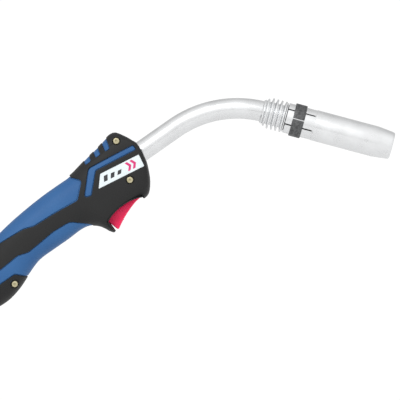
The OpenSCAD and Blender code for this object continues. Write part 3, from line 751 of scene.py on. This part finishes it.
def label_print():
    """A made-up mark: three slanted bars and two chevrons, as ink a twentieth of a millimetre thick."""
    def bar(x, z, length, height, lean):
        """A slanted bar along the label, whose lower rear corner is at (x, z)."""
        run, rise = math.cos(math.radians(-8.2)), math.sin(math.radians(-8.2))
        corners = ((0, 0), (length, 0), (length + lean, height), (lean, height))
        return [(x + a * run - b * rise, z + a * rise + b * run, 0.05) for a, b in corners]

    def chevron(x, z):
        """An arrow's head that points forward, whose lower rear corner is at (x, z)."""
        corners = ((0, 0), (2.2, -0.3), (5, 2.9), (3.4, 6.6), (1.2, 6.9), (2.8, 3.2))
        return [(x + a, z + b, 0.05) for a, b in corners]

    bars = [bar(135.2 + 5.8 * k, 12.6 - 0.8 * k, 3.3, 4.4 - 0.7 * k, 2.0) for k in range(3)]
    chevrons = [chevron(155.5, 8.6), chevron(159.6, 8.0)]
    for name, shapes, ink in (("label_bars", bars, INK_CHARCOAL),
                              ("label_chevrons", chevrons, INK_MAGENTA)):
        marks = join(*[pad(on_grip(shape), 0.0, INK_TOP, 0.02, floor=INK_TOP - 0.1) for shape in shapes])
        both_sides(marks, name, ink)


def screw_cups():
    """Black liners of the screw holes, which the soft skin is moulded into."""
    cups = []
    for x, z, face in SCREWS:
        wall = turned([(2.95, 0.0), (3.15, -0.3), (3.38, -0.3), (3.38, 2.8), (2.95, 2.8)], steps=48)
        cups.append(into_side(wall, x, face - 0.6, z))
    piece(join(*cups), "screw_cups", RUBBER)


def recess_lining():
    """Black lining of the finger recess, either side of the trigger's slot."""
    def arc(radius):
        ends = [math.acos((x - RECESS_CENTRE[0]) / radius) for x in (RECESS_X[1] - 0.05, RECESS_X[0] + 0.05)]
        steps = [ends[0] + (ends[1] - ends[0]) * k / 24 for k in range(25)]
        return [(RECESS_CENTRE[0] + radius * math.cos(a), RECESS_CENTRE[1] + radius * math.sin(a))
                for a in steps]
    strip = arc(RECESS_R - 0.05) + arc(RECESS_R - 0.75)[::-1]
    heel = [(119.25, -13.9), (119.95, -13.6), (119.95, -23.6), (119.25, -23.9)]
    nose = [(153.95, -13.5), (153.25, -13.3), (153.25, -15.6), (153.95, -15.6)]
    parts = []
    for low, high in ((-17.6, -8.0), (8.0, 17.6)):
        parts += [side_prism(strip, low, high), side_prism(heel, low, high), side_prism(nose, low, high)]
    piece(join(*parts), "recess_lining", RUBBER)


def screws():
    """Socket button screws with a hexagon drive."""
    heads = []
    for x, z, face in SCREWS:
        head = turned([(0, 0.04), (2.1, 0.04), (2.5, 0.14), (2.7, 0.36), (2.78, 0.7), (2.78, 1.98),
                       (1.5, 1.98), (1.5, 7.0 - face), (0, 7.0 - face)], steps=48)
        hexagon = [(1.15 * math.cos(math.pi * k / 3), 1.15 * math.sin(math.pi * k / 3)) for k in range(6)]
        heads.append(into_side(combine(head, prism(hexagon, -1.0, 2.2)), x, face, z))
    piece(join(*heads), "button_screws", ZINC, stands_for=["handle_screws"])


def cable_port():
    """The moulded ring that the cable bush pushes into."""
    ring = turned([(11.9, 0.02), (11.5, 0.5), (11.5, 13.95), (13.6, 13.95), (13.6, 6), (14.6, 6), (14.6, 3),
                   (13.6, 3), (13.6, 0.3), (13.3, 0.02)])
    piece(along_x(ring), "cable_port_ring", BLACK_NYLON, stands_for=["cable_collar"])


grip()
label_print()
screw_cups()
recess_lining()
screws()
cable_port()


# ---- Trigger -------------------------------------------------------------------------------------
def trigger():
    """The finger lever: a hollow shell, rounded on its outside, with a hub, a post that pushes the
    switch and a seat for its spring."""
    outline = [(153.2, -13.1), (150, -13.4), (146, -14), (141, -15.5), (136, -17.3), (131, -19.5),
               (126, -22.2), (122.6, -24.3, 1.2), (119.9, -14.6), (118, -10.6), (145, -10.6),
               (147, -6.1), (152, -6.6)]
    body = rounded_prism(round_off(outline, 0.9, segments=4), 7.45, 0.7)
    hollow = [(143.5, -12.6), (141, -13.3), (136, -15.1), (131, -17.3), (126, -20), (122.4, -22),
              (121.9, -15), (120, -11.9), (120, -9), (143.5, -9)]
    body = combine(body, side_prism(hollow, -5.5, 5.5))
    hub = turned([(1.55, -7.4), (3, -7.4), (3, 7.4), (1.55, 7.4)], steps=64)
    bore = turned([(0, -9), (1.55, -9), (1.55, 9), (0, 9)], steps=64)
    body = combine(body, into_side(bore, PIVOT[0], 0, PIVOT[1]))
    post = turned([(0, -14), (1.2, -14), (1.2, -5.1), (0.9, -4.75), (0, -4.75)], steps=32)
    bmesh.ops.translate(post, vec=(140.5, 0, 0), verts=post.verts)
    seat = turned([(0, -20.2), (3.35, -20.2), (3.35, -17.05), (1.5, -17.05), (1.3, -15.3), (0, -15.1)],
                  steps=32)
    bmesh.ops.translate(seat, vec=(127.5, 0, 0), verts=seat.verts)
    whole = join(body, into_side(hub, PIVOT[0], 0, PIVOT[1]), post, seat)
    piece(whole, "finger_trigger", RED, body="trigger", stands_for=["trigger"])


trigger()


# ---- Neck and head -------------------------------------------------------------------------------
def neck_tube():
    """The bent outer tube: two circles drawn along the neck's line, and joined at both ends."""
    bm = bmesh.new()
    ends = []
    for radius in (NECK_R - 0.01, NECK_BORE_R):
        made = bmesh.ops.create_circle(bm, segments=96, radius=radius, cap_ends=False)["verts"]
        turn = Matrix.Translation((NECK_START, 0, NECK_Z)) @ Matrix.Rotation(math.pi / 2, 4, "Y")
        bmesh.ops.transform(bm, matrix=turn, verts=made)
        ends += list({edge for vert in made for edge in vert.link_edges})
    first = list(ends)

    def draw(vector):
        pulled = bmesh.ops.extrude_edge_only(bm, edges=ends)["geom"]
        moved = [v for v in pulled if isinstance(v, bmesh.types.BMVert)]
        bmesh.ops.translate(bm, vec=vector, verts=moved)
        return [e for e in pulled if isinstance(e, bmesh.types.BMEdge)]

    ends = draw((BEND_X - NECK_START, 0, 0))
    ring = list({v for e in ends for v in e.verts})
    spun = bmesh.ops.spin(bm, geom=ring + ends, cent=(BEND_X, 0, NECK_Z - BEND_R), axis=(0, 1, 0),
                          angle=math.radians(BEND_DEG), steps=48, use_merge=False, use_duplicate=False)
    ends = [e for e in spun["geom_last"] if isinstance(e, bmesh.types.BMEdge)]
    ends = draw(HEAD_TURN.to_3x3() @ Vector((0, 0, 8.0)))
    bmesh.ops.bridge_loops(bm, edges=first)
    bmesh.ops.bridge_loops(bm, edges=ends)
    piece(bm, "bent_neck_tube", TUBE_PLATING, stands_for=["neck_jacket"])


def finned_head():
    """The cooling fins, which the nozzle stops against. Each fin has its place s and its radius r."""
    outline = [(8.4, -3.0), (8.6, -3.0)]
    for s, r in ((-1.7, 9.7), (0.6, 11.1), (4, 12.4), (7.5, 12.4), (11, 12.4), (14.5, 12.4)):
        root = 8.7 if s < 0 else 9.0
        outline += [(root, max(s - 1.5, -2.95)), (root + 0.3, max(s - 1.2, -2.7)), (r - 0.3, s - 0.6),
                    (r - 0.05, s - 0.35), (r - 0.05, s + 0.5), (r - 0.3, s + 0.75), (root + 0.3, s + 0.9),
                    (root, s + 1.05)]
    outline += [(9.0, 15.55), (11.4, 15.6), (11.58, 15.8), (11.58, 16.3), (11.4, 16.48), (7.3, 16.48),
                (7.3, 8.05), (8.3, 8.05), (8.4, 0)]
    piece(at_head(turned(outline, steps=128)), "cooling_fins", NOZZLE_PLATING,
          stands_for=["finned_head"], sharp=33.0)


def gas_nozzle():
    """The drawn and turned nozzle, with six slots that let its rear end spring."""
    outline = [(10.25, 17.1), (10.35, 17.0), (11.8, 17.0), (11.93, 17.15), (11.93, 39.4), (12.2, 39.75),
               (12.23, 40.0), (12.23, 89.6), (12.15, 90.6), (10.97, 101.4), (10.75, 102.6), (10.35, 103.2),
               (9.95, 103.45), (9.2, 103.45), (8.7, 103.1), (8.52, 102.6), (8.52, 74), (10.25, 62)]
    shape = turned(outline, steps=144)
    slot_angle = 146.6
    cutters = []
    for k in range(6):
        rounded = [(0.6 * math.cos(math.pi * i / 10), 38.4 + 0.6 * math.sin(math.pi * i / 10))
                   for i in range(11)]
        cutter = side_prism([(0.6, 15.5)] + rounded + [(-0.6, 15.5)], 9.0, 14.0)
        bmesh.ops.rotate(cutter, matrix=Matrix.Rotation(math.radians(slot_angle + 60 * k), 3, "Z"),
                         verts=cutter.verts)
        cutters.append(cutter)
    shape = combine(shape, join(*cutters))
    piece(at_head(shape), "slotted_nozzle", NOZZLE_PLATING, body="nozzle",
          stands_for=["gas_nozzle"], sharp=30.0)


def nozzle_band():
    """The spring band that grips the nozzle's slotted end, split on one side."""
    gap = 3.9
    split_angle = 267.6
    outline = [(11.97, 22.4), (12.4, 22.02), (12.8, 22.02), (13.1, 22.25), (13.17, 22.6), (13.17, 30.6),
               (13.1, 30.95), (12.8, 31.18), (12.4, 31.18), (11.97, 30.8)]
    ring = turned(outline, steps=120, arc=360.0 - gap, start=split_angle + gap / 2)
    piece(at_head(ring), "spring_band", BAND_STEEL, body="nozzle", stands_for=["nozzle_band"])


def contact_tip():
    """The copper tip that the wire feeds through."""
    outline = [(0.66, 58.05), (3.98, 58.05), (3.98, 66.5), (4.6, 66.5), (4.98, 66.9), (4.98, 90),
               (3.4, 98.3), (3.1, 98.85), (2.7, 98.98), (1.1, 98.98), (0.66, 98.6)]
    piece(at_head(turned(outline, steps=64)), "copper_tip", COPPER, stands_for=["contact_tip"])


neck_tube()
finned_head()
gas_nozzle()
nozzle_band()
contact_tip()

# ---- Camera, light and floor ---------------------------------------------------------------------
VIEW_ROLL = math.radians(35.0)
VIEW_CENTRE = Vector((188.75, 0.0, -42.0)) * MM
VIEW_WIDTH = 316.0 * MM
LENS = 250.0
SENSOR = 36.0
RIGHT = Vector((math.cos(VIEW_ROLL), 0.0, -math.sin(VIEW_ROLL)))
UP = Vector((math.sin(VIEW_ROLL), 0.0, math.cos(VIEW_ROLL)))
BACK = Vector((0.0, -1.0, 0.0))
# Turning about the line across the view: 0 and 1 are behind the torch, 0.25 under it, 0.5 at the
# camera and 0.75 above it
TENT = ((0.0, "#D0D0D0"), (0.085, "#C0C0C0"), (0.22, "#E8E8E8"), (0.33, "#FFFFFF"), (0.435, "#FFFFFF"),
        (0.463, "#C0C0C0"), (0.49, "#EDEDED"), (0.66, "#EDEDED"), (0.75, "#D8D8D8"), (0.85, "#B8B8B8"),
        (0.945, "#C4C4C4"))
TENT_STRENGTH = 1.24


def camera():
    """Square on to the right side, turned so that the nozzle points down and to the right."""
    lens = bpy.data.cameras.new("camera")
    lens.lens = LENS
    lens.sensor_width = SENSOR
    lens.clip_end = 20.0
    eye = bpy.data.objects.new("camera", lens)
    bpy.context.collection.objects.link(eye)
    place = VIEW_CENTRE + BACK * (VIEW_WIDTH * LENS / SENSOR)
    turn = Matrix((RIGHT, UP, BACK)).transposed().to_4x4()
    eye.matrix_world = Matrix.Translation(place) @ turn
    bpy.context.scene.camera = eye


def soft_box(name, place, size, watts):
    light = bpy.data.lights.new(name, "AREA")
    light.shape = "RECTANGLE"
    light.size, light.size_y = size
    light.energy = watts
    box = bpy.data.objects.new(name, light)
    bpy.context.collection.objects.link(box)
    box.location = VIEW_CENTRE + place
    box.rotation_euler = (-place).to_track_quat("-Z", "Y").to_euler()


def studio():
    """The camera sees white paper. The torch is lit by a bright tent that is darker behind it and
    above, and has a gap where the camera looks in."""
    world = bpy.data.worlds.new("studio")
    world.use_nodes = True
    tree = world.node_tree
    tree.nodes.clear()
    way = add(tree, "ShaderNodeTexCoord").outputs["Generated"]
    up = add(tree, "ShaderNodeVectorMath", {0: way, 1: UP}, operation="DOT_PRODUCT").outputs["Value"]
    front = add(tree, "ShaderNodeVectorMath", {0: way, 1: BACK}, operation="DOT_PRODUCT").outputs["Value"]
    turn = add(tree, "ShaderNodeMath", {0: up, 1: front}, operation="ARCTAN2").outputs["Value"]
    part = add(tree, "ShaderNodeMapRange", {"Value": turn, "From Min": -math.pi, "From Max": math.pi})
    tent = ramp(tree, part.outputs["Result"], *TENT)
    lit = add(tree, "ShaderNodeBackground", {"Color": tent, "Strength": TENT_STRENGTH})
    paper = add(tree, "ShaderNodeBackground", {"Color": (1.0, 1.0, 1.0, 1.0), "Strength": 1.05})
    seen = add(tree, "ShaderNodeLightPath").outputs["Is Camera Ray"]
    sky = add(tree, "ShaderNodeMixShader", {0: seen, 1: lit.outputs[0], 2: paper.outputs[0]})
    add(tree, "ShaderNodeOutputWorld", {"Surface": sky.outputs[0]})
    bpy.context.scene.world = world
    soft_box("key_light", RIGHT * -0.35 + UP * 0.8 + BACK * 1.1, (0.8, 0.5), 5.0)


def floor():
    """A pale floor well below the torch, which is held up by its cable end."""
    bm = bmesh.new()
    bmesh.ops.create_grid(bm, x_segments=1, y_segments=1, size=1.25)
    bmesh.ops.translate(bm, vec=(0.17, 0.0, CAD_BOX[0][2] - 0.3), verts=bm.verts)
    mesh = bpy.data.meshes.new("floor")
    bm.to_mesh(mesh)
    bm.free()
    mesh.materials.append(grained("studio_paper", "#F4F4F4", "#F8F8F8", 60.0, 2.0, 0.01, (0.8, 0.9)))
    sheet = bpy.data.objects.new("floor", mesh)
    bpy.context.collection.objects.link(sheet)


camera()
studio()
floor()
bpy.context.scene.view_settings.view_transform = "Standard"
